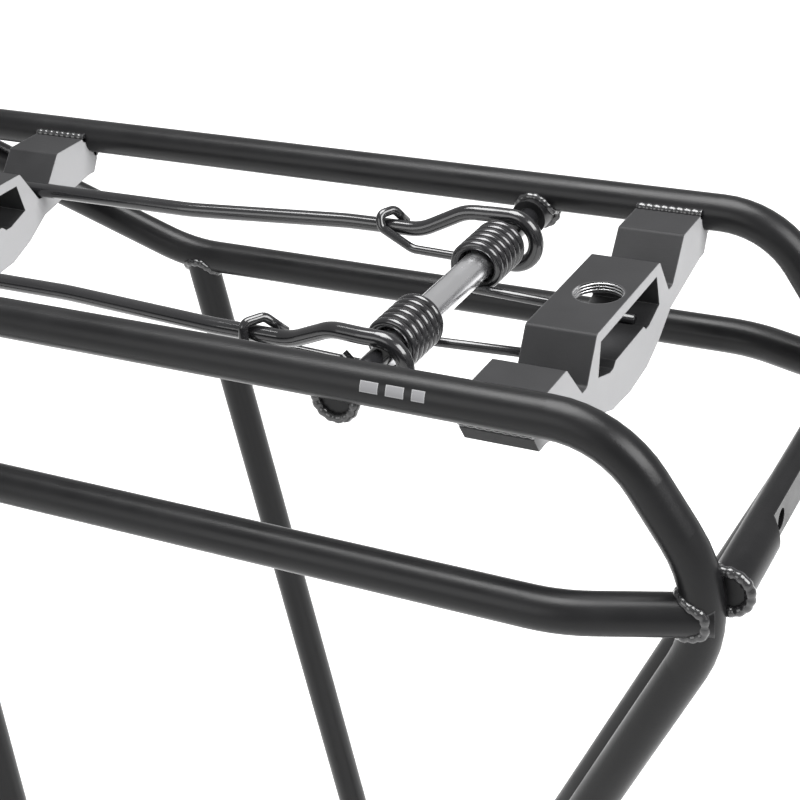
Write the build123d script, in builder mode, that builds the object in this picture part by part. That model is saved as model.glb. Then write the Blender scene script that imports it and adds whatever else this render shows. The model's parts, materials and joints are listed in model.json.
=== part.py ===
from build123d import *
import os
from math import cos, radians, sin, tan

os.makedirs("parts", exist_ok=True)

# A bicycle rear rack. Millimetres, +X to the rear, +Y to the bicycle's right, +Z up.
# The origin is midway between the two foot eyelets, on their common axis.

# Tubes
tube_r = 5.0
tube_wall = 1.5

# Luggage deck: two upper rails that turn down into the rear legs
rail_z = 398.0          # upper rails' centre line above the eyelets
rail_y = 59.0           # half the spacing of the upper rails
hoop_x = -182.0         # centre line of the deck's front end
hoop_bend_r = 35.0
hoop_end_y = 22.0       # the rails' bent ends meet the front cross tube here
deck_rear_x = 148.1     # where the rail's line meets the line of its rear drop
deck_rear_r = 26.0
knee_x = 173.6          # second bend, where the drop turns forward into the leg
knee_drop = 39.5
knee_r = 34.6

# Rear leg below the knee leans forward; lower down it spreads out to the foot
leg_lean = 0.486        # forward travel for each millimetre down
leg_spread_drop = 218.0
leg_foot_drop = 346.0
spread_bend_r = 110.0

# Lower rails carry the pannier hooks
low_y = 70.5
low_drop = 41.7
low_front_x = -47.2     # front bend: the rail starts to climb to the upper rail
low_join_x = -144.0     # where its line meets the upper rail's axis
low_front_r = 45.0
low_rear_x = 140.0      # rear bend: the rail turns in to the knee
low_rear_join_x = 171.0
low_rear_r = 40.0

# Front struts
strut_top_x = -42.8
strut_top_y = 69.5
strut_lean = 0.12       # rearward travel for each millimetre down
strut_straight_drop = 314.0

# Feet
foot_y = 86.0
foot_plate_t = 6.0
foot_top_z = 26.0
foot_eye_r = 9.0
eyelet_r = 2.7

# Tube for the rear lamp, pressed flat at the back
lamp_x = 173.3
lamp_drop = 36.3
lamp_press = 2.7        # how far the wall is pressed in
lamp_flat_y = 31.0
lamp_half = 57.0
lamp_end_t = 2.5
lamp_hole_y = 25.0
lamp_hole_r = 2.6

# Cross bridges, cut from one extrusion
bridge_len = 18.0
rear_bridge_x = 112.0   # front faces
front_bridge_x = -88.0
box_top = 1.2           # heights are from the upper rails' centre line
box_y = 21.3
top_wall = 2.9
groove_y = 29.5
groove_drop = 9.3
wing_y = 39.8
wing_top = 1.0
belly_drop = 24.5
socket_r = 6.3
socket_x = 10.0         # socket centre behind the bridge's front face

# Spring clamp
axle_x = 81.4
axle_drop = 5.0
axle_r = 2.75
axle_half = 54.3
lug_r = 5.0
lug_inner_y = 51.0
lug_outer_y = 59.5
sleeve_r = 4.0
sleeve_bore_r = 2.81
sleeve_half = 34.5
spring_wire_r = 1.25
coil_r = 5.9
coil_turns = 6
coil_pitch = 2.75
coil_inner_y = 15.8
spring_tail = 45.3
bail_r = 2.1
hook_y = 38.7
hook_r = 7.0
hook_shift_x = 0.5      # the hook hangs a little behind and below the axle
hook_shift_z = -1.6
hook_sweep = 225.0
hook_tail = 8.0

eye_x = 47.0            # the springs' eyes grip the clamp's arms here
eye_y = 35.4
eye_drop = 5.75
eye_bend_r = 2.1
arm_front_y = 29.5
arm_front_drop = 6.9
bail_front_x = -116.0
bail_rise = 6.0

# Front fixing: two swivelling stays
tab_t = 4.0
tab_y = 16.0
tab_reach = 16.0
tab_r = 6.0
tab_drop = 3.0
stay_t = 3.0
stay_w = 12.0
stay_len = 110.0
stay_slope = 20.0
stay_gap = 0.3
bolt_r = 2.5
bolt_clear = 0.06
nut_af = 8.0
nut_t = 4.0
head_r = 4.75
head_t = 2.8

low_z = rail_z - low_drop
lamp_z = rail_z - lamp_drop
axle_z = rail_z - axle_drop
eye_z = rail_z - eye_drop
arm_front_z = rail_z - arm_front_drop
stay_x = hoop_x - tab_reach
stay_z = rail_z - tab_drop
sides = ((-1, "left"), (1, "right"))


def leg_x(drop):
    """Centre line of the leg at a given distance below the upper rail."""
    return knee_x - leg_lean * (drop - knee_drop)


def strut_x(drop):
    return strut_top_x + strut_lean * (drop - low_drop)


foot_drop = rail_z - foot_top_z
foot_leg_x = leg_x(foot_drop)
foot_strut_x = strut_x(foot_drop)


def finish(builder, name):
    builder.part.label = name
    export_step(builder.part, f"parts/{name}.step")


def upper_rail_points(side):
    return [
        (hoop_x, side * hoop_end_y, rail_z),
        (hoop_x, side * rail_y, rail_z),
        (deck_rear_x, side * rail_y, rail_z),
        (knee_x, side * rail_y, rail_z - knee_drop),
        (leg_x(leg_spread_drop), side * rail_y, rail_z - leg_spread_drop),
        (leg_x(leg_foot_drop), side * foot_y, rail_z - leg_foot_drop),
        (leg_x(foot_drop + 4), side * foot_y, foot_top_z - 4),
    ]


upper_rail_radii = [hoop_bend_r, deck_rear_r, knee_r, spread_bend_r, spread_bend_r]

# Solid bars along the rails, used only to cope what is welded to them
rail_bars = {}
for side, hand in sides:
    with BuildPart() as rail_bar:
        with BuildLine() as rail_line:
            FilletPolyline(*upper_rail_points(side), radius=upper_rail_radii)
        with BuildSketch(Plane(origin=rail_line.line @ 0, z_dir=rail_line.line % 0)):
            Circle(tube_r)
        sweep()
    rail_bars[side] = rail_bar.part

# Upper rails with the rear legs, each one bent tube
for side, hand in sides:
    with BuildPart() as upper_rail:
        with BuildLine() as rail_line:
            FilletPolyline(*upper_rail_points(side), radius=upper_rail_radii)
        with BuildSketch(Plane(origin=rail_line.line @ 0, z_dir=rail_line.line % 0)):
            Circle(tube_r)
            Circle(tube_r - tube_wall, mode=Mode.SUBTRACT)
        sweep()
        # the leg's foot is cut level where it sits on the foot plate
        with BuildSketch(Plane.XY.offset(foot_top_z)):
            with Locations((foot_leg_x, side * foot_y)):
                Rectangle(40, 40)
        extrude(amount=-20, mode=Mode.SUBTRACT)
    finish(upper_rail, f"upper_rail_{hand}")

# Front cross tube closes the deck between the two bent rail ends
with BuildPart() as front_cross_tube:
    with BuildSketch(Plane(origin=(hoop_x, -hoop_end_y, rail_z), z_dir=(0, 1, 0))):
        Circle(tube_r)
        Circle(tube_r - tube_wall, mode=Mode.SUBTRACT)
    extrude(amount=2 * hoop_end_y)
finish(front_cross_tube, "front_cross_tube")

# Lower rails: climb to the upper rail at the front, turn in to the knee at the rear
low_bars = {}
for side, hand in sides:
    low_points = [
        (low_join_x, side * rail_y, rail_z),
        (low_front_x, side * low_y, low_z),
        (low_rear_x, side * low_y, low_z),
        (low_rear_join_x, side * rail_y, low_z),
    ]
    with BuildPart() as low_bar:
        with BuildLine() as low_line:
            FilletPolyline(*low_points, radius=[low_front_r, low_rear_r])
        with BuildSketch(Plane(origin=low_line.line @ 0, z_dir=low_line.line % 0)):
            Circle(tube_r)
        sweep()
    low_bars[side] = low_bar.part
    with BuildPart() as lower_rail:
        with BuildLine() as low_line:
            FilletPolyline(*low_points, radius=[low_front_r, low_rear_r])
        with BuildSketch(Plane(origin=low_line.line @ 0, z_dir=low_line.line % 0)):
            Circle(tube_r)
            Circle(tube_r - tube_wall, mode=Mode.SUBTRACT)
        sweep()
        add(rail_bars[side], mode=Mode.SUBTRACT)
    finish(lower_rail, f"lower_rail_{hand}")

# Front struts from the lower rails' front bend down to the feet
for side, hand in sides:
    strut_points = [
        (strut_top_x, side * strut_top_y, low_z),
        (strut_x(strut_straight_drop), side * foot_y, rail_z - strut_straight_drop),
        (strut_x(foot_drop + 4), side * foot_y, foot_top_z - 4),
    ]
    with BuildPart() as front_strut:
        with BuildLine() as strut_line:
            FilletPolyline(*strut_points, radius=[spread_bend_r])
        with BuildSketch(Plane(origin=strut_line.line @ 0, z_dir=strut_line.line % 0)):
            Circle(tube_r)
            Circle(tube_r - tube_wall, mode=Mode.SUBTRACT)
        sweep()
        add(low_bars[side], mode=Mode.SUBTRACT)
        with BuildSketch(Plane.XY.offset(foot_top_z)):
            with Locations((foot_strut_x, side * foot_y)):
                Rectangle(40, 40)
        extrude(amount=-20, mode=Mode.SUBTRACT)
    finish(front_strut, f"front_strut_{hand}")

# Foot plates: leg and strut are welded to the top edge, the frame bolt goes through the eye
foot_front = foot_strut_x - tube_r - 1.5
foot_back = foot_leg_x + tube_r + 1.5
for side, hand in sides:
    with BuildPart() as foot_plate:
        with BuildSketch(Plane.XZ.offset(-side * foot_y - foot_plate_t / 2)):
            with BuildLine():
                Polyline(
                    (foot_front, foot_top_z),
                    (foot_back, foot_top_z),
                    (foot_back, foot_top_z - 6),
                    (foot_eye_r, 0),
                    (-foot_eye_r, 0),
                    (foot_front, foot_top_z - 6),
                    close=True,
                )
            make_face()
            Circle(foot_eye_r)
            Circle(eyelet_r, mode=Mode.SUBTRACT)
        extrude(amount=foot_plate_t)
    finish(foot_plate, f"foot_plate_{hand}")

# Lamp tube between the knees, its back pressed flat round the lamp's two holes
with BuildPart() as lamp_tube:
    with BuildSketch(Plane(origin=(lamp_x, -lamp_half, lamp_z), z_dir=(0, 1, 0))):
        Circle(tube_r)
        Circle(tube_r - tube_wall, mode=Mode.SUBTRACT)
    extrude(amount=2 * lamp_half)
    with BuildSketch(Plane.XY.offset(lamp_z)):
        with BuildLine():
            Polyline(
                (lamp_x + tube_r + 0.2, -lamp_flat_y - 4),
                (lamp_x + tube_r - lamp_press, -lamp_flat_y),
                (lamp_x + tube_r - lamp_press, lamp_flat_y),
                (lamp_x + tube_r + 0.2, lamp_flat_y + 4),
                close=True,
            )
        make_face()
    extrude(amount=tube_r, both=True, mode=Mode.SUBTRACT)
    pressed = Plane(origin=(lamp_x, -lamp_flat_y - 3, lamp_z), x_dir=(1, 0, 0), z_dir=(0, 1, 0))
    with BuildSketch(pressed):
        Circle(tube_r)
        with Locations((tube_r - lamp_press - tube_wall / 2, 0)):
            Rectangle(tube_wall, 2 * tube_r, mode=Mode.INTERSECT)
    extrude(amount=2 * lamp_flat_y + 6)
    # the ends are closed by their welds
    for side, hand in sides:
        with BuildSketch(Plane(origin=(lamp_x, side * lamp_half, lamp_z), z_dir=(0, -side, 0))):
            Circle(tube_r)
        extrude(amount=lamp_end_t)
    with BuildSketch(Plane(origin=(lamp_x, 0, lamp_z), x_dir=(0, 1, 0), z_dir=(1, 0, 0))):
        with Locations((-lamp_hole_y, 0), (lamp_hole_y, 0)):
            Circle(lamp_hole_r)
    extrude(amount=tube_r, mode=Mode.SUBTRACT)
    add(rail_bars[-1], mode=Mode.SUBTRACT)
    add(rail_bars[1], mode=Mode.SUBTRACT)
finish(lamp_tube, "lamp_tube")

# Bridges: a box with a channel in the middle, a groove each side for the clamp's arms
# and thin wings welded between the upper rails
for bridge_x, place in ((rear_bridge_x, "rear"), (front_bridge_x, "front")):
    with BuildPart() as bridge:
        with BuildSketch(Plane.YZ.offset(bridge_x)) as profile:
            with Locations((0, rail_z)):
                with BuildLine():
                    Polyline(
                        (0, rail_z + box_top),
                        (box_y, rail_z + box_top),
                        (groove_y - 1.5, rail_z - groove_drop),
                        (groove_y + 1.5, rail_z - groove_drop),
                        (wing_y, rail_z + wing_top),
                        (rail_y, rail_z + wing_top),
                        (rail_y - 0.4, rail_z - 7),
                        (rail_y - 2.8, rail_z - 10.9),
                        (rail_y - 6.2, rail_z - 10.9),
                        (groove_y, rail_z - 15),
                        (21, rail_z - 20),
                        (12, rail_z - 23.4),
                        (0, rail_z - belly_drop),
                        close=True,
                    )
            make_face()
            mirror(about=Plane.YZ)
        extrude(amount=bridge_len)
        long_edges = bridge.edges().filter_by(Axis.X)
        rounded = [
            e for e in long_edges
            if e.center().Z > rail_z - groove_drop - 1 and box_y - 1 < abs(e.center().Y) < wing_y + 1
        ]
        fillet(rounded, 1.2)
        with BuildSketch(Plane.YZ.offset(bridge_x)):
            with BuildLine():
                Polyline(
                    (0, rail_z + box_top - top_wall),
                    (19, rail_z + box_top - top_wall),
                    (21, rail_z - 10.2),
                    (13.5, rail_z - 12.6),
                    (11.3, rail_z - 12.6),
                    (9.6, rail_z - 11.2),
                    (0, rail_z - 11.2),
                    close=True,
                )
            make_face()
            mirror(about=Plane.YZ)
        extrude(amount=bridge_len, mode=Mode.SUBTRACT)
        with BuildSketch(Plane.XY.offset(rail_z + box_top)):
            with Locations((bridge_x + socket_x, 0)):
                Circle(socket_r)
        extrude(amount=-top_wall, mode=Mode.SUBTRACT)
        add(rail_bars[-1], mode=Mode.SUBTRACT)
        add(rail_bars[1], mode=Mode.SUBTRACT)
    finish(bridge, f"{place}_bridge")

# Lugs: short blind sockets welded under the upper rails to hold the clamp's axle
for side, hand in sides:
    with BuildPart() as spring_lug:
        with BuildSketch(Plane(origin=(axle_x, side * lug_inner_y, axle_z), z_dir=(0, side, 0))):
            Circle(lug_r)
        extrude(amount=lug_outer_y - lug_inner_y)
        with BuildSketch(Plane(origin=(axle_x, side * lug_inner_y, axle_z), z_dir=(0, side, 0))):
            Circle(axle_r)
        extrude(amount=axle_half - lug_inner_y, mode=Mode.SUBTRACT)
        add(rail_bars[side], mode=Mode.SUBTRACT)
    finish(spring_lug, f"spring_lug_{hand}")

axle_start = Plane(origin=(axle_x, -axle_half, axle_z), z_dir=(0, 1, 0))
with BuildPart() as spring_axle:
    with BuildSketch(axle_start):
        Circle(axle_r)
    extrude(amount=2 * axle_half)
finish(spring_axle, "spring_axle")

with BuildPart() as spring_sleeve:
    with BuildSketch(Plane(origin=(axle_x, -sleeve_half, axle_z), z_dir=(0, 1, 0))):
        Circle(sleeve_r)
        Circle(sleeve_bore_r, mode=Mode.SUBTRACT)
    extrude(amount=2 * sleeve_half)
finish(spring_sleeve, "spring_sleeve")

# Torsion springs: the tail rests in the rear bridge's channel, the front leg ends in an eye
# round the clamp's arm. The two eyes are wound opposite ways, as wound from one pattern.
for side, hand in sides:
    coil_end_y = coil_inner_y + coil_turns * coil_pitch
    # corners of the eye round the arm: along, outboard and up from the eye's middle
    if side > 0:
        eye_corners = [
            (7.8, eye_y - coil_end_y, -4.45),
            (-1.3, 3.7, 1.0),
            (-2.2, 2.4, 4.2),
            (0.2, -1.8, 4.4),
            (3.0, -3.6, 0.3),
        ]
    else:
        eye_corners = [
            (7.8, eye_y - coil_end_y, -4.45),
            (1.5, -0.2, -4.2),
            (-2.5, -4.0, -1.5),
            (-3.0, -2.6, 3.6),
            (0.5, 1.9, 4.0),
            (5.0, 4.2, -0.5),
        ]
    eye_points = [
        (eye_x + along, side * (eye_y - inboard), eye_z + up)
        for along, inboard, up in eye_corners
    ]
    coil_plane = Plane(
        origin=(axle_x, side * coil_inner_y, axle_z), x_dir=(0, 0, -1), z_dir=(0, side, 0)
    )
    coil_edge = coil_plane * Helix(coil_pitch, coil_turns * coil_pitch, coil_r, lefthand=side < 0)
    with BuildPart() as torsion_spring:
        with BuildSketch(Plane(origin=coil_edge @ 0, z_dir=coil_edge % 0)) as coil_start:
            Circle(spring_wire_r)
        sweep(path=coil_edge, is_frenet=True)
        extrude(coil_start.sketch, amount=-spring_tail)
        leg_start = coil_edge @ 1
        leg_way = coil_edge % 1
        leg_points = [
            leg_start,
            leg_start + leg_way * 4,
            *eye_points,
        ]
        with BuildLine() as leg_line:
            FilletPolyline(*leg_points, radius=[12, 5] + [eye_bend_r] * (len(eye_points) - 2))
        with BuildSketch(Plane(origin=leg_start, z_dir=leg_way)):
            Circle(spring_wire_r)
        sweep(path=leg_line.wires()[0])
    finish(torsion_spring, f"torsion_spring_{hand}")

# Bail: one bent wire, a hook round the axle at each end
hook_x = axle_x + hook_shift_x
hook_z = axle_z + hook_shift_z


def hook_point(angle):
    return (hook_x + hook_r * cos(radians(angle)), hook_y, hook_z + hook_r * sin(radians(angle)))


tail_angle = 90 - hook_sweep
tail_start = hook_point(tail_angle)
tail_end = (
    tail_start[0] + hook_tail * sin(radians(tail_angle)),
    hook_y,
    tail_start[2] - hook_tail * cos(radians(tail_angle)),
)
bail_points = [
    (hook_x, hook_y, hook_z + hook_r),
    (hook_x - 4, hook_y, hook_z + hook_r),
    (axle_x - 12.5, hook_y - 0.8, hook_z + hook_r),
    (eye_x + 9, eye_y + 0.2, eye_z + 0.1),
    (eye_x - 14, eye_y - 0.2, eye_z),
    (-16.0, arm_front_y + 0.3, arm_front_z + 0.3),
    (-94.0, arm_front_y, arm_front_z),
    (bail_front_x, arm_front_y, arm_front_z + bail_rise),
    (bail_front_x, 0, arm_front_z + bail_rise),
]
with BuildPart() as bail:
    with BuildLine() as hook_line:
        ThreePointArc(hook_point(90), hook_point(90 - hook_sweep / 2), tail_start)
        Line(tail_start, tail_end)
    with BuildSketch(Plane(origin=hook_point(90), z_dir=(1, 0, 0))):
        Circle(bail_r)
    sweep(path=hook_line.wires()[0])
    with BuildLine() as arm_line:
        FilletPolyline(*bail_points, radius=[20, 12, 14, 60, 60, 20, 12])
    with BuildSketch(Plane(origin=hook_point(90), z_dir=(-1, 0, 0))):
        Circle(bail_r)
    sweep(path=arm_line.wires()[0])
    mirror(about=Plane.XZ)
finish(bail, "bail")

# Stay tabs welded to the front of the cross tube
with BuildPart() as stay_tabs:
    for side, hand in sides:
        with BuildSketch(Plane.XZ.offset(-side * tab_y - tab_t / 2)):
            with Locations((hoop_x - tab_reach / 2, stay_z)):
                Rectangle(tab_reach, 2 * tab_r)
            with Locations((stay_x, stay_z)):
                Circle(tab_r)
                Circle(bolt_r + 0.15, mode=Mode.SUBTRACT)
        extrude(amount=tab_t)
    with BuildSketch(Plane(origin=(hoop_x, -hoop_end_y, rail_z), z_dir=(0, 1, 0))):
        Circle(tube_r)
    extrude(amount=2 * hoop_end_y, mode=Mode.SUBTRACT)
finish(stay_tabs, "stay_tabs")

stay_in_y = tab_y + tab_t / 2 + stay_gap
stay_out_y = stay_in_y + stay_t
head_y = stay_out_y + stay_gap
for side, hand in sides:
    with BuildPart() as stay:
        with BuildSketch(Plane.XZ.offset(-side * (stay_in_y + stay_t / 2) - stay_t / 2)):
            with Locations((
                stay_x - stay_len / 2 * cos(radians(stay_slope)),
                stay_z - stay_len / 2 * sin(radians(stay_slope)),
            )):
                SlotCenterToCenter(stay_len, stay_w, rotation=stay_slope)
            with Locations((stay_x, stay_z)):
                Circle(bolt_r + bolt_clear, mode=Mode.SUBTRACT)
            with Locations((
                stay_x - stay_len * cos(radians(stay_slope)),
                stay_z - stay_len * sin(radians(stay_slope)),
            )):
                Circle(eyelet_r, mode=Mode.SUBTRACT)
        extrude(amount=stay_t)
    finish(stay, f"stay_{hand}")

with BuildPart() as stay_bolts:
    for side, hand in sides:
        with BuildSketch(Plane(origin=(stay_x, side * (tab_y - tab_t / 2 - nut_t - 1), stay_z),
                               z_dir=(0, side, 0))):
            Circle(bolt_r)
        extrude(amount=head_y - tab_y + tab_t / 2 + nut_t + 1)
        head_plane = Plane(origin=(stay_x, side * head_y, stay_z), z_dir=(0, side, 0))
        with BuildSketch(head_plane):
            Circle(head_r)
        extrude(amount=head_t)
        rims = stay_bolts.edges().filter_by(GeomType.CIRCLE)
        rim = rims.sort_by(lambda e: side * e.center().Y)[-1]
        fillet(rim, 1.6)
        with BuildSketch(head_plane.offset(head_t)):
            RegularPolygon(1.5, 6, major_radius=False)
        extrude(amount=-1.6, mode=Mode.SUBTRACT)
finish(stay_bolts, "stay_bolts")

with BuildPart() as stay_nuts:
    for side, hand in sides:
        with BuildSketch(Plane(origin=(stay_x, side * (tab_y - tab_t / 2), stay_z),
                               z_dir=(0, -side, 0))):
            RegularPolygon(nut_af / 2, 6, major_radius=False)
            Circle(bolt_r, mode=Mode.SUBTRACT)
        extrude(amount=nut_t)
finish(stay_nuts, "stay_nuts")
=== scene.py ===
import bmesh
import bpy
import json
import math
from mathutils import Matrix, Vector
from mathutils.bvhtree import BVHTree


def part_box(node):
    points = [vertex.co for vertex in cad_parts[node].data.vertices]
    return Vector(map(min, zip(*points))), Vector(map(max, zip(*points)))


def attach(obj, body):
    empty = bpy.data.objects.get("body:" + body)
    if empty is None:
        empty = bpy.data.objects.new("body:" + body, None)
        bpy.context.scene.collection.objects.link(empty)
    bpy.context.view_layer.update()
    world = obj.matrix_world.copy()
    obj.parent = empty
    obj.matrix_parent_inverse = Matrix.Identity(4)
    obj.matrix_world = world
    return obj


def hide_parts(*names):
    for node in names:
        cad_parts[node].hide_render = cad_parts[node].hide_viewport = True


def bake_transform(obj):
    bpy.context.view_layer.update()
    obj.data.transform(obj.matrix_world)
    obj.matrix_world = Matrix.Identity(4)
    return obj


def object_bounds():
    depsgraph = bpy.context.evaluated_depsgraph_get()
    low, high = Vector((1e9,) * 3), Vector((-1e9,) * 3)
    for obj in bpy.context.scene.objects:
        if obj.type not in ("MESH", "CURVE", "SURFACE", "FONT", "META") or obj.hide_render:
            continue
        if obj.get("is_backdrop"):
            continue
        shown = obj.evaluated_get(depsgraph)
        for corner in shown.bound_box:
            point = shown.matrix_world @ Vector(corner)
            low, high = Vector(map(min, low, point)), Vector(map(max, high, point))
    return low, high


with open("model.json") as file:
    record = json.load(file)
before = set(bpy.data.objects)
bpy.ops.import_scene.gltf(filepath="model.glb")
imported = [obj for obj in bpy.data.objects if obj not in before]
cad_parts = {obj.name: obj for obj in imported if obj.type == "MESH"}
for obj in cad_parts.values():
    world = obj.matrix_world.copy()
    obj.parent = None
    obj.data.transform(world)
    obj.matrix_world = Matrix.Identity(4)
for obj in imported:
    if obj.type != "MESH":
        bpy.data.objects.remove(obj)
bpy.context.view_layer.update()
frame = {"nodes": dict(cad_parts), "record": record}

nodes = frame["nodes"]
print("rack: frame loaded,", len(nodes), "nodes")


# Camera, at a three-quarter view down the deck

cameraSettings = {
    "place": (0.26472, -0.35964, 0.58074),
    "turn": 29.03,       # about the vertical, degrees
    "dip": -28.33,
    "roll": 4.289,
    "lens": 79.03,
}


def makeCamera(s):
    data = bpy.data.cameras.new("camera")
    data.lens = s["lens"]
    data.sensor_width = 36.0
    data.clip_start = 0.01
    data.clip_end = 60.0
    cam = bpy.data.objects.new("camera", data)
    bpy.context.scene.collection.objects.link(cam)
    turn = Matrix.Rotation(math.radians(s["turn"]), 4, "Z")
    dip = Matrix.Rotation(math.radians(s["dip"]), 4, "X")
    roll = Matrix.Rotation(math.radians(s["roll"]), 4, "Y")
    upright = Matrix.Rotation(math.radians(90), 4, "X")
    cam.matrix_world = Matrix.Translation(s["place"]) @ turn @ dip @ roll @ upright
    bpy.context.scene.camera = cam


makeCamera(cameraSettings)
print("rack: camera placed")


# Studio: white floor, white surroundings and soft panels

studio = {
    "floorSize": 30.0,
    "floorGap": 0.0005,
    "floorColour": (0.38, 0.38, 0.38, 1),
    "floorGlow": 0.85,
    "skyColour": (1.0, 1.0, 1.0, 1),
    "skyStrength": 0.5,
    "panels": [
        # name, place, aimed at, width, height, watts
        ("keyRear", (1.3, -0.2, 1.35), (0.1, 0, 0.38), 1.2, 0.8, 38),
        ("overhead", (-0.1, 0.1, 1.9), (0.0, 0, 0.38), 1.1, 1.1, 58),
        ("fillLeft", (-0.5, -1.5, 0.9), (0, 0, 0.35), 1.0, 1.0, 9),
    ],
}


def makeStudio(s):
    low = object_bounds()[0][2]
    half = s["floorSize"] / 2
    mesh = bpy.data.meshes.new("floor")
    z = low - s["floorGap"]
    corners = [(-half, -half, z), (half, -half, z), (half, half, z), (-half, half, z)]
    mesh.from_pydata(corners, [], [(0, 1, 2, 3)])
    floor = bpy.data.objects.new("floor", mesh)
    bpy.context.scene.collection.objects.link(floor)
    mat = bpy.data.materials.new("paleFloor")
    mat.use_nodes = True
    shader = mat.node_tree.nodes["Principled BSDF"]
    shader.inputs["Base Color"].default_value = s["floorColour"]
    shader.inputs["Roughness"].default_value = 0.9
    shader.inputs["Emission Color"].default_value = (1, 1, 1, 1)
    shader.inputs["Emission Strength"].default_value = s["floorGlow"]
    mesh.materials.append(mat)
    floor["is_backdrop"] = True
    world = bpy.data.worlds.new("studio")
    world.use_nodes = True
    back = world.node_tree.nodes["Background"]
    back.inputs[0].default_value = s["skyColour"]
    back.inputs[1].default_value = s["skyStrength"]
    bpy.context.scene.world = world
    for name, place, aim, width, height, watts in s["panels"]:
        data = bpy.data.lights.new(name, "AREA")
        data.shape = "RECTANGLE"
        data.size, data.size_y, data.energy = width, height, watts
        lamp = bpy.data.objects.new(name, data)
        way = Vector(aim) - Vector(place)
        lamp.matrix_world = Matrix.Translation(place) @ way.to_track_quat("-Z", "Y").to_matrix().to_4x4()
        bpy.context.scene.collection.objects.link(lamp)
    bpy.context.scene.view_settings.view_transform = "Standard"


makeStudio(studio)
print("rack: studio ready")


# Finishes

finishes = {
    # base and second tint, range of roughness, gloss, scale and depth of the grain, tint of worn edges
    "powderBlack": dict(base=(0.0035, 0.0035, 0.0038), tint=(0.008, 0.008, 0.0085), rough=(0.28, 0.40),
                        specular=0.2, metal=0.0, coat=0.0, grain=(1500, 1500, 1500), bump=0.10,
                        wear=(0.06, 0.06, 0.062)),
    "beadBlack": dict(base=(0.008, 0.008, 0.0085), tint=(0.02, 0.02, 0.021), rough=(0.14, 0.26),
                      metal=0.0, coat=0.35, grain=(900, 900, 900), bump=0.16, wear=(0.12, 0.12, 0.12)),
    # bridgeBlack's paler end grey is painted light of the key lamp on the cut end faces, over their paler
    # cut metal
    "bridgeBlack": dict(base=(0.012, 0.012, 0.0125), tint=(0.022, 0.022, 0.023), rough=(0.46, 0.62),
                        specular=0.15, metal=0.0, coat=0.0, grain=(240, 2600, 2600), bump=0.12,
                        wear=(0.11, 0.11, 0.112), sawnAndLit=(0.28, 0.28, 0.285)),
    "wireGloss": dict(base=(0.006, 0.006, 0.0065), tint=(0.012, 0.012, 0.013), rough=(0.10, 0.20),
                      metal=0.0, coat=0.2, grain=(700, 700, 700), bump=0.04, wear=(0.03, 0.03, 0.03)),
    "sleevePolished": dict(base=(0.80, 0.80, 0.81), tint=(0.62, 0.62, 0.64), rough=(0.20, 0.34),
                           metal=1.0, coat=0.0, grain=(1800, 30, 1800), bump=0.05, wear=(0.9, 0.9, 0.9)),
    "stayBlack": dict(base=(0.013, 0.013, 0.014), tint=(0.026, 0.026, 0.028), rough=(0.34, 0.48),
                      metal=0.0, coat=0.1, grain=(1300, 1300, 1300), bump=0.10, wear=(0.16, 0.16, 0.165)),
    "fastenerSteel": dict(base=(0.55, 0.55, 0.56), tint=(0.42, 0.42, 0.43), rough=(0.24, 0.40),
                          metal=1.0, coat=0.0, grain=(900, 200, 900), bump=0.06, wear=(0.78, 0.78, 0.78)),
    "markGrey": dict(base=(0.16, 0.16, 0.165), tint=(0.12, 0.12, 0.125), rough=(0.40, 0.52),
                     metal=0.0, coat=0.0, grain=(1600, 1600, 1600), bump=0.05, wear=(0.34, 0.34, 0.34)),
}


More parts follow.
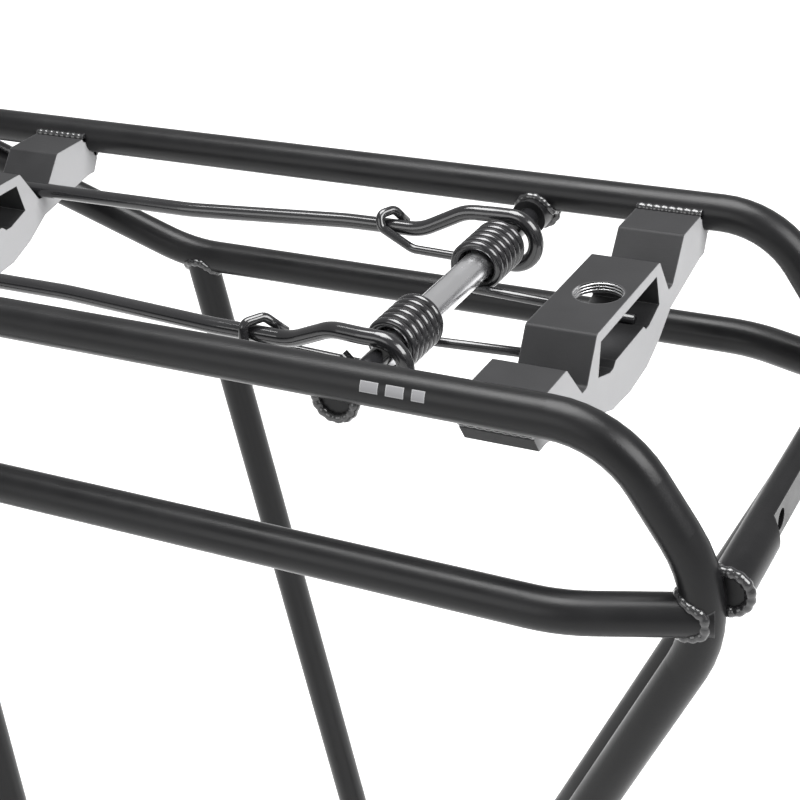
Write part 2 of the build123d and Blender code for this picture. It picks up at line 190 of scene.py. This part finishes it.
def makeFinish(name, s):
    mat = bpy.data.materials.new(name)
    mat.use_nodes = True
    tree = mat.node_tree
    shader = tree.nodes["Principled BSDF"]
    shader.inputs["Metallic"].default_value = s["metal"]
    shader.inputs["Coat Weight"].default_value = s["coat"]
    shader.inputs["Coat Roughness"].default_value = 0.12
    shader.inputs["Specular IOR Level"].default_value = s.get("specular", 0.5)

    def add(kind, **values):
        node = tree.nodes.new(kind)
        for key, value in values.items():
            node.inputs[key].default_value = value
        return node

    def blendTint(factor, a, b):
        mix = tree.nodes.new("ShaderNodeMix")
        mix.data_type = "RGBA"
        tree.links.new(factor, mix.inputs[0])
        for slotAt, colour in ((6, a), (7, b)):
            if isinstance(colour, tuple):
                mix.inputs[slotAt].default_value = (*colour, 1)
            else:
                tree.links.new(colour, mix.inputs[slotAt])
        return mix.outputs[2]

    coords = tree.nodes.new("ShaderNodeTexCoord")
    stretch = add("ShaderNodeMapping", Scale=s["grain"])
    tree.links.new(coords.outputs["Object"], stretch.inputs["Vector"])
    grain = add("ShaderNodeTexNoise", Scale=1.0, Detail=3.0, Roughness=0.6)
    tree.links.new(stretch.outputs[0], grain.inputs["Vector"])
    patches = add("ShaderNodeTexNoise", Scale=55.0, Detail=4.0, Roughness=0.6)
    tree.links.new(coords.outputs["Object"], patches.inputs["Vector"])

    # roughness drifts in soft patches
    sheen = add("ShaderNodeMapRange", **{"To Min": s["rough"][0], "To Max": s["rough"][1],
                                         "From Min": 0.3, "From Max": 0.7})
    tree.links.new(patches.outputs["Fac"], sheen.inputs["Value"])
    tree.links.new(sheen.outputs[0], shader.inputs["Roughness"])
    colour = blendTint(patches.outputs["Fac"], s["base"], s["tint"])

    if "sawnAndLit" in s:  # the extrusion's cut ends are paler, and their grey is raised further as painted light of the key lamp falling on them
        facing = tree.nodes.new("ShaderNodeSeparateXYZ")
        tree.links.new(coords.outputs["Normal"], facing.inputs[0])
        size = tree.nodes.new("ShaderNodeMath")
        size.operation = "ABSOLUTE"
        tree.links.new(facing.outputs[0], size.inputs[0])
        litCutEnds = add("ShaderNodeMapRange", **{"From Min": 0.90, "From Max": 0.97})
        tree.links.new(size.outputs[0], litCutEnds.inputs["Value"])
        colour = blendTint(litCutEnds.outputs[0], colour, s["sawnAndLit"])

    # worn edges: where the rounded normal leaves the face's own
    rounded = tree.nodes.new("ShaderNodeBevel")
    rounded.samples = 4
    rounded.inputs["Radius"].default_value = 0.0005
    facet = tree.nodes.new("ShaderNodeNewGeometry")
    match = tree.nodes.new("ShaderNodeVectorMath")
    match.operation = "DOT_PRODUCT"
    tree.links.new(rounded.outputs[0], match.inputs[0])
    tree.links.new(facet.outputs["Normal"], match.inputs[1])
    worn = add("ShaderNodeMapRange", **{"From Min": 0.98, "From Max": 0.82, "To Max": 0.6})
    tree.links.new(match.outputs["Value"], worn.inputs["Value"])
    colour = blendTint(worn.outputs[0], colour, s["wear"])
    tree.links.new(colour, shader.inputs["Base Color"])

    bump = add("ShaderNodeBump", Strength=s["bump"], Distance=0.0002)
    tree.links.new(grain.outputs["Fac"], bump.inputs["Height"])
    tree.links.new(bump.outputs[0], shader.inputs["Normal"])
    return mat


finish = {name: makeFinish(name, s) for name, s in finishes.items()}
slotFinish = {"frame_black": "powderBlack", "bridge_black": "bridgeBlack", "wire_black": "wireGloss",
              "sleeve_steel": "sleevePolished", "stay_black": "stayBlack", "fastener_steel": "fastenerSteel"}
nodeSlot = {p["node"]: p["material_slot"] for p in frame["record"]["subparts"]}
for name in nodeSlot:
    mesh = bpy.data.objects[name].data
    mesh.materials.clear()
    mesh.materials.append(finish[slotFinish[nodeSlot[name]]])
print("rack: finishes on", len(nodeSlot), "nodes")


# Torsion springs between the frame and the bail: smooth wire, copied from the spring parts with points
# merged

springWire = {"windStart": 0.0162, "windEnd": 0.0304, "weld": 0.000004}


def makeSpring(hand, s):
    node = "torsion_spring_" + hand
    wire = bmesh.new()
    wire.from_mesh(bpy.data.objects[node].data)
    bmesh.ops.remove_doubles(wire, verts=wire.verts, dist=s["weld"])
    mesh = bpy.data.meshes.new("springWire_" + hand)
    wire.to_mesh(mesh)
    wire.free()
    mesh.materials.clear()
    mesh.materials.append(finish["wireGloss"])
    mesh.shade_smooth()
    piece = bpy.data.objects.new("springWire_" + hand, mesh)
    bpy.context.scene.collection.objects.link(piece)
    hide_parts(node)
    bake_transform(piece)


for hand, side in (("left", -1), ("right", 1)):
    makeSpring(hand, springWire)
print("rack: springs")


# Weld beads: a rippled bead along each seam, from one Geometry Nodes tree

weldBead = {
    "radius": 0.00125,
    "ripple": 0.22,      # share of the radius
    "pitch": 0.0021,     # length of one ripple
    "step": 0.00045,
    "sides": 10,
    "tube": 0.005,       # radius of the tubes that are welded
    "touch": 0.00025,    # how near a coped end lies to the tube it meets
    "search": 0.002,
    "bin": 10,           # degrees of turn that share one point of a ring
    "evening": 2,        # passes that smooth a ring
    "cast": 48,          # points on a ring found by rays
    "castBack": 0.012,   # how far inside the end the rays start
    "seams": [
        # branch, tube it meets, way its right-hand end points
        ("lower_rail", "upper_rail", (-96.8, -11.5, 41.7)),
        ("lower_rail", "upper_rail", (31.0, -11.5, 0.0)),
        ("front_strut", "lower_rail", (-0.12, -0.05, 1.0)),
        ("lamp_tube", "upper_rail", (0, 1, 0)),
        ("front_cross_tube", "upper_rail", (0, 1, 0)),
        ("spring_lug", "upper_rail", (0, 1, 0)),
    ],
}


def surfaceOf(node):
    mesh = bpy.data.objects[node].data
    faces = [tuple(p.vertices) for p in mesh.polygons]
    return BVHTree.FromPolygons([v.co for v in mesh.vertices], faces)


surfaces = {n: surfaceOf(n) for n in nodeSlot if n.startswith(("upper_rail", "lower_rail"))}


def touching(branch, main, s):
    tree, points = surfaces[main], {}
    for v in bpy.data.objects[branch].data.vertices:
        near = tree.find_nearest(v.co, s["search"])
        if near[0] is not None and near[3] < s["touch"]:
            points[tuple(round(c, 5) for c in v.co)] = v.co.copy()
    return list(points.values())


def ringOf(points, way, s):
    # the outer edge of a tube's end, in order round its axis
    way = way.normalized()
    across = way.cross(Vector((0.31, 0.17, 0.93))).normalized()
    up = way.cross(across)
    flat = [(p.dot(across), p.dot(up), p) for p in points]
    midA = (min(f[0] for f in flat) + max(f[0] for f in flat)) / 2
    midU = (min(f[1] for f in flat) + max(f[1] for f in flat)) / 2
    ring = {}
    for a, u, p in flat:
        out = math.hypot(a - midA, u - midU)
        at = round(math.degrees(math.atan2(u - midU, a - midA)) / s["bin"]) % (360 // s["bin"])
        if out > 0.9 * s["tube"] and out > ring.get(at, (0,))[0]:
            ring[at] = (out, p)
    loop = [ring[k][1] for k in sorted(ring)]
    for step in range(s["evening"]):
        loop = [(loop[i - 1] + 2 * p + loop[(i + 1) % len(loop)]) / 4 for i, p in enumerate(loop)]
    return loop


def castRing(node, skin, side, s):
    # where a straight cross tube's own outline runs into the tube it meets
    lo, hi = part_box(node)
    x, z = lo[0] + s["tube"], (lo[2] + hi[2]) / 2
    stop = hi[1] if side > 0 else lo[1]
    ring = []
    for i in range(s["cast"]):
        turn = 2 * math.pi * i / s["cast"]
        start = Vector((x + s["tube"] * math.cos(turn), stop - side * s["castBack"],
                        z + s["tube"] * math.sin(turn)))
        hit = skin.ray_cast(start, Vector((0, side, 0)), s["castBack"])[0]
        ring.append(hit if hit is not None else Vector((start.x, stop, start.z)))
    return ring


def gatherSeams(s):
    loops, lines = [], []
    for side, hand in ((-1, "left"), (1, "right")):
        rail = "upper_rail_" + hand
        for branch, main, way in s["seams"]:
            node = branch if branch in nodeSlot else branch + "_" + hand
            lead = Vector((way[0], way[1] * side, way[2]))
            lo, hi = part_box(node)
            middle = (Vector(lo) + Vector(hi)) / 2
            met = main + "_" + hand
            ends = [p for p in touching(node, met, s) if (p - middle).dot(lead) > 0]
            loop = ringOf(ends, lead, s) if len(ends) > 8 else []
            if len(loop) < 20 and way == (0, 1, 0):
                loop = castRing(node, surfaces[met], side, s)
            loops.append(loop)
        # leg and strut stand on the foot plate's top edge
        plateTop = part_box("foot_plate_" + hand)[1][2]
        for node in (rail, "front_strut_" + hand):
            points = [v.co.copy() for v in bpy.data.objects[node].data.vertices]
            low = [p for p in points if abs(p.z - plateTop) < 0.0001]
            if len(low) > 8:
                loops.append(ringOf(low, Vector((0, 0, -1)), s))
        # bridges' wings run along the rail, over and under
        for node in ("rear_bridge", "front_bridge"):
            edge = touching(node, rail, s)
            if edge:
                x0, x1 = min(p.x for p in edge), max(p.x for p in edge)
                for pick in (max(edge, key=lambda p: p.z), min(edge, key=lambda p: p.z)):
                    lines.append([Vector((x, pick.y, pick.z)) for x in (x0, (x0 + x1) / 2, x1)])
    return [l for l in loops if len(l) > 7], lines


def beadTree(s):
    tree = bpy.data.node_groups.new("weldBeadNodes", "GeometryNodeTree")
    tree.is_modifier = True
    face = tree.interface
    face.new_socket("Geometry", in_out="INPUT", socket_type="NodeSocketGeometry")
    for name in ("Radius", "Ripple", "Pitch", "Step"):
        face.new_socket(name, in_out="INPUT", socket_type="NodeSocketFloat")
    face.new_socket("Finish", in_out="INPUT", socket_type="NodeSocketMaterial")
    face.new_socket("Geometry", in_out="OUTPUT", socket_type="NodeSocketGeometry")
    new, link = tree.nodes.new, tree.links.new
    given, made = new("NodeGroupInput"), new("NodeGroupOutput")

    def work(kind, a, b=None):
        node = new("ShaderNodeMath")
        node.operation = kind
        for at, value in enumerate((a, b)):
            if isinstance(value, (int, float)):
                node.inputs[at].default_value = value
            elif value is not None:
                link(value, node.inputs[at])
        return node.outputs[0]

    path = new("GeometryNodeMeshToCurve")
    link(given.outputs["Geometry"], path.inputs[0])
    even = new("GeometryNodeResampleCurve")
    even.mode = "LENGTH"
    link(path.outputs[0], even.inputs["Curve"])
    link(given.outputs["Step"], even.inputs["Length"])
    along = new("GeometryNodeSplineParameter")
    turn = work("MULTIPLY", work("DIVIDE", along.outputs["Length"], given.outputs["Pitch"]), math.pi)
    crest = work("MULTIPLY", work("ABSOLUTE", work("SINE", turn)), given.outputs["Ripple"])
    thick = work("MULTIPLY", work("ADD", crest, 0.9), given.outputs["Radius"])
    ring = new("GeometryNodeCurvePrimitiveCircle")
    ring.inputs["Resolution"].default_value = s["sides"]
    ring.inputs["Radius"].default_value = 1.0
    skin = new("GeometryNodeCurveToMesh")
    skin.inputs["Fill Caps"].default_value = True
    link(ring.outputs["Curve"], skin.inputs["Profile Curve"])
    if "Scale" in skin.inputs:
        link(even.outputs[0], skin.inputs["Curve"])
        link(thick, skin.inputs["Scale"])
    else:
        size = new("GeometryNodeSetCurveRadius")
        link(even.outputs[0], size.inputs["Curve"])
        link(thick, size.inputs["Radius"])
        link(size.outputs[0], skin.inputs["Curve"])
    smooth = new("GeometryNodeSetShadeSmooth")
    link(skin.outputs[0], smooth.inputs[0])
    whole = new("GeometryNodeRealizeInstances")
    link(smooth.outputs[0], whole.inputs[0])
    coat = new("GeometryNodeSetMaterial")
    link(whole.outputs[0], coat.inputs["Geometry"])
    link(given.outputs["Finish"], coat.inputs["Material"])
    link(coat.outputs[0], made.inputs[0])
    return tree


def runTree(obj, tree, values):
    # set each named input, take the result as a plain mesh
    step = obj.modifiers.new("tree", "NODES")
    step.node_group = tree
    for item in tree.interface.items_tree:
        if item.item_type == "SOCKET" and item.in_out == "INPUT" and item.name in values:
            step[item.identifier] = values[item.name]
    graph = bpy.context.evaluated_depsgraph_get()
    mesh = bpy.data.meshes.new_from_object(obj.evaluated_get(graph), depsgraph=graph)
    obj.modifiers.remove(step)
    obj.data = mesh
    return obj


def pathObject(name, loops, lines):
    verts, edges = [], []
    for group, closed in ((loops, True), (lines, False)):
        for points in group:
            first = len(verts)
            verts += [tuple(p) for p in points]
            edges += [(first + i, first + i + 1) for i in range(len(points) - 1)]
            if closed:
                edges.append((len(verts) - 1, first))
    mesh = bpy.data.meshes.new(name)
    mesh.from_pydata(verts, edges, [])
    obj = bpy.data.objects.new(name, mesh)
    bpy.context.scene.collection.objects.link(obj)
    return obj


def makeBeads(s):
    loops, lines = gatherSeams(s)
    beads = pathObject("weldBeads", loops, lines)
    runTree(beads, beadTree(s), {"Radius": s["radius"], "Ripple": s["ripple"], "Pitch": s["pitch"],
                                 "Step": s["step"], "Finish": finish["beadBlack"]})
    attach(beads, "frame")
    print("rack: weld beads on", len(loops), "rings and", len(lines), "lines")


makeBeads(weldBead)


# Plain printed bars on the outside of the left rail

railMark = {
    "ahead": 0.0135,      # from the rear bridge's front face to the middle of the mark
    "length": 0.016,
    "tube": 0.005,
    "lift": 0.00006,
    "sunk": 0.0002,
    "lugPast": 0.0005,    # the lug's end lies this far past the rail's centre line
    "bars": [(-0.5, -0.22), (-0.1, 0.18), (0.3, 0.5)],   # start and end along the mark
    "tilt": (142, 172),   # degrees round the rail, 180 is straight outboard
    "cells": 16,
}


def makeRailMark(s):
    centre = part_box("rear_bridge")[0][0] - s["ahead"]
    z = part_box("upper_rail_left")[1][2] - s["tube"]
    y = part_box("spring_lug_left")[0][1] + s["lugPast"]
    verts, faces = [], []
    for start, end in s["bars"]:
        first = len(verts)
        for i in range(s["cells"] + 1):
            turn = math.radians(s["tilt"][0] + (s["tilt"][1] - s["tilt"][0]) * i / s["cells"])
            for share in (start, end):
                for reach in (s["tube"] - s["sunk"], s["tube"] + s["lift"]):
                    verts.append((centre + share * s["length"], y + reach * math.cos(turn),
                                  z + reach * math.sin(turn)))
        for i in range(s["cells"]):
            a, b = first + 4 * i, first + 4 * (i + 1)
            for p, q in ((1, 3), (3, 2), (2, 0), (0, 1)):
                faces.append((a + p, a + q, b + q, b + p))
        last = first + 4 * s["cells"]
        faces += [(first, first + 2, first + 3, first + 1), (last + 1, last + 3, last + 2, last)]
    mesh = bpy.data.meshes.new("railMark")
    mesh.from_pydata(verts, [], faces)
    skin = bmesh.new()
    skin.from_mesh(mesh)
    bmesh.ops.recalc_face_normals(skin, faces=skin.faces)
    skin.to_mesh(mesh)
    skin.free()
    mesh.materials.append(finish["markGrey"])
    piece = bpy.data.objects.new("railMark", mesh)
    bpy.context.scene.collection.objects.link(piece)
    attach(piece, "frame")


makeRailMark(railMark)
print("rack: rail mark")


# Thread in each bridge's socket

socketThread = {"turns": 3.0, "wire": 0.00022, "inset": 0.00012, "step": 0.0004,
                "cells": 48, "sides": 8}


def makeThreads(s):
    tree = beadTree(s)
    for mount in frame["record"]["mounts"]:
        if "bridge_socket" not in mount["name"]:
            continue
        x, y, z = mount["pos_m"]
        r = mount["dims"]["r_mm"] / 1000 - s["inset"]
        deep = mount["dims"]["length_mm"] / 1000 - 2.4 * s["wire"]
        count = int(s["turns"] * s["cells"])
        turns = [2 * math.pi * s["turns"] * i / count for i in range(count + 1)]
        path = [Vector((x + r * math.cos(t), y + r * math.sin(t), z + deep * (0.5 - i / count)))
                for i, t in enumerate(turns)]
        name = mount["name"].replace("_socket", "_thread")
        piece = pathObject(name, [], [path])
        runTree(piece, tree, {"Radius": s["wire"], "Ripple": 0.0, "Pitch": 1.0, "Step": s["step"],
                              "Finish": finish["fastenerSteel"]})
        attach(piece, "frame")


makeThreads(socketThread)
print("rack: socket threads")
